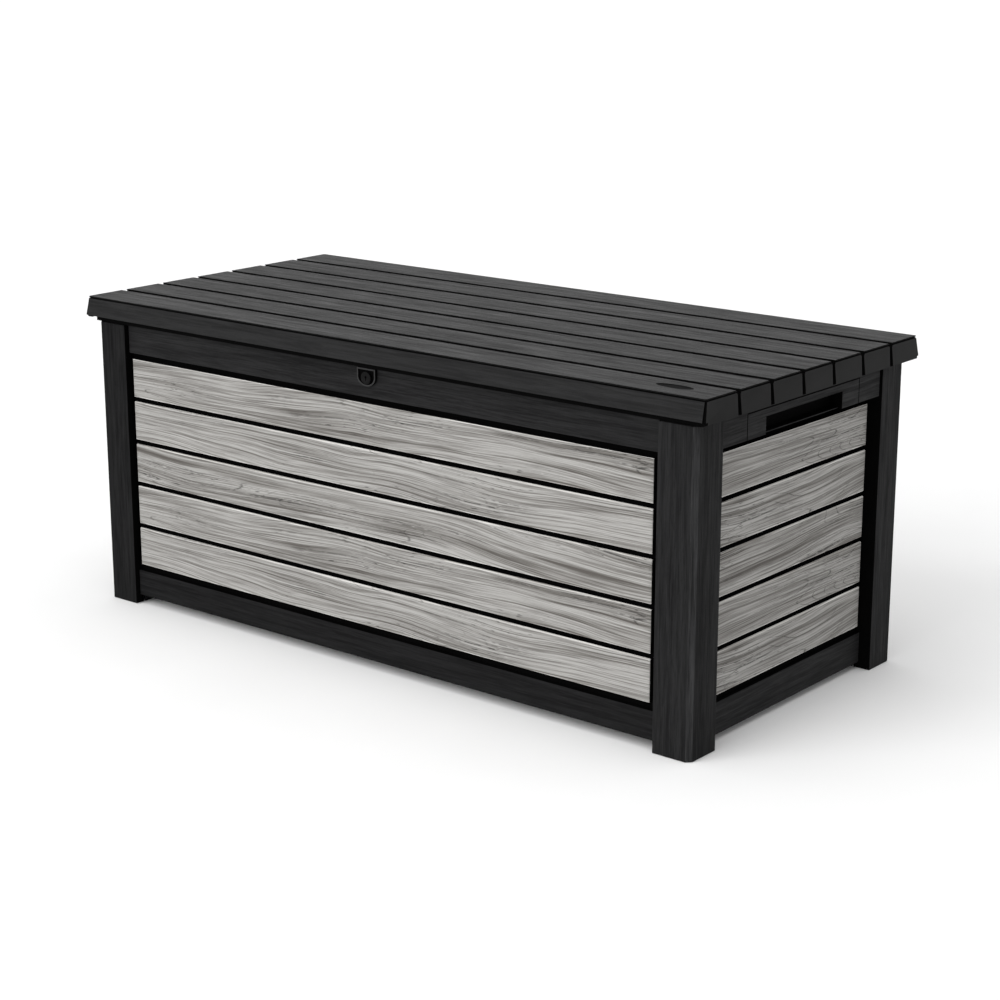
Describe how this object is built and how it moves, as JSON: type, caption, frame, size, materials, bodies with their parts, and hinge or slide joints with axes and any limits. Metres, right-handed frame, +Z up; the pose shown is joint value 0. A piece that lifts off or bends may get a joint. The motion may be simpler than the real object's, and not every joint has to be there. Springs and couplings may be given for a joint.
{
  "type": "deck storage box",
  "caption": "Large outdoor deck storage box with a slatted hinged lid, corner posts, wood-look plank walls, a cam lock, gas struts and hand grips in the ends.",
  "frame": {"origin": "middle of the footprint, on the ground under the corner posts", "axes": "+X along the length to the viewer's right, front at -Y, +Z up"},
  "size_m": [1.548, 0.7224, 0.6515],
  "materials": {
    "lid_resin": "fine wood grain moulded along the slats",
    "frame_resin": "dark, fine wood grain",
    "liner_resin": "plain, slightly pebbled",
    "plank_resin": "light grey weathered wood grain",
    "dark_trim": "smooth",
    "lock_trim": "satin",
    "lock_metal": "satin zinc",
    "hinge_steel": "black powder coat",
    "strut_body": "semi-gloss black",
    "strut_rod": "polished"
  },
  "bodies": {
    "box": {"back_panel": "frame_resin", "back_plank_1": "plank_resin", "back_plank_2": "plank_resin", "back_plank_3": "plank_resin", "back_plank_4": "plank_resin", "back_plank_5": "plank_resin", "corner_post_back_left": "frame_resin", "corner_post_back_right": "frame_resin", "corner_post_front_left": "frame_resin", "corner_post_front_right": "frame_resin", "floor_panel": "frame_resin", "front_panel": "frame_resin", "front_plank_1": "plank_resin", "front_plank_2": "plank_resin", "front_plank_3": "plank_resin", "front_plank_4": "plank_resin", "front_plank_5": "plank_resin", "grip_left": "frame_resin", "grip_right": "frame_resin", "hinge_box_leaf_1": "hinge_steel", "hinge_box_leaf_2": "hinge_steel", "hinge_box_leaf_3": "hinge_steel", "hinge_pin_1": "hinge_steel", "hinge_pin_2": "hinge_steel", "hinge_pin_3": "hinge_steel", "left_panel": "frame_resin", "left_plank_1": "plank_resin", "left_plank_2": "plank_resin", "left_plank_3": "plank_resin", "left_plank_4": "plank_resin", "left_plank_5": "plank_resin", "lock_nut": "lock_metal", "lock_shield": "lock_trim", "right_panel": "frame_resin", "right_plank_1": "plank_resin", "right_plank_2": "plank_resin", "right_plank_3": "plank_resin", "right_plank_4": "plank_resin", "right_plank_5": "plank_resin", "strut_foot_left": "hinge_steel", "strut_foot_right": "hinge_steel"},
    "lid": {"lid_shell": "lid_resin", "lid_liner": "liner_resin", "blank_oval_plate": "dark_trim", "lock_hook": "lock_metal", "hinge_lid_leaf_1": "hinge_steel", "hinge_lid_leaf_2": "hinge_steel", "hinge_lid_leaf_3": "hinge_steel", "strut_head_left": "hinge_steel", "strut_head_right": "hinge_steel"},
    "lock": {"lock_barrel": "lock_trim", "lock_cam": "lock_metal"},
    "strut_tube_left": {"strut_tube_left": "strut_body"},
    "strut_rod_left": {"strut_rod_left": "strut_rod"},
    "strut_tube_right": {"strut_tube_right": "strut_body"},
    "strut_rod_right": {"strut_rod_right": "strut_rod"}
  },
  "joints": [
    {"name": "lid_hinge", "type": "hinge", "parent": "box", "child": "lid", "pos_m": [0, 0.354, 0.601], "axis": [-1, 0, 0], "range_deg": [0, 75]},
    {"name": "lock_turn", "type": "hinge", "parent": "box", "child": "lock", "pos_m": [0, -0.339, 0.581], "axis": [0, 1, 0], "range_deg": [0, 90]},
    {"name": "strut_foot_left", "type": "hinge", "parent": "box", "child": "strut_tube_left", "pos_m": [-0.65, 0.285, 0.36], "axis": [-1, 0, 0], "range_deg": [0, 37.5]},
    {"name": "strut_head_left", "type": "hinge", "parent": "lid", "child": "strut_rod_left", "pos_m": [-0.65, 0.10344, 0.609], "axis": [1, 0, 0], "range_deg": [0, 37.5]},
    {"name": "strut_foot_right", "type": "hinge", "parent": "box", "child": "strut_tube_right", "pos_m": [0.65, 0.285, 0.36], "axis": [-1, 0, 0], "range_deg": [0, 37.5]},
    {"name": "strut_head_right", "type": "hinge", "parent": "lid", "child": "strut_rod_right", "pos_m": [0.65, 0.10344, 0.609], "axis": [1, 0, 0], "range_deg": [0, 37.5]}
  ],
  "couplings": [
    {"joint": "strut_foot_left", "follows": "lid_hinge", "ratio": 0.5},
    {"joint": "strut_head_left", "follows": "lid_hinge", "ratio": 0.5},
    {"joint": "strut_foot_right", "follows": "lid_hinge", "ratio": 0.5},
    {"joint": "strut_head_right", "follows": "lid_hinge", "ratio": 0.5}
  ]
}
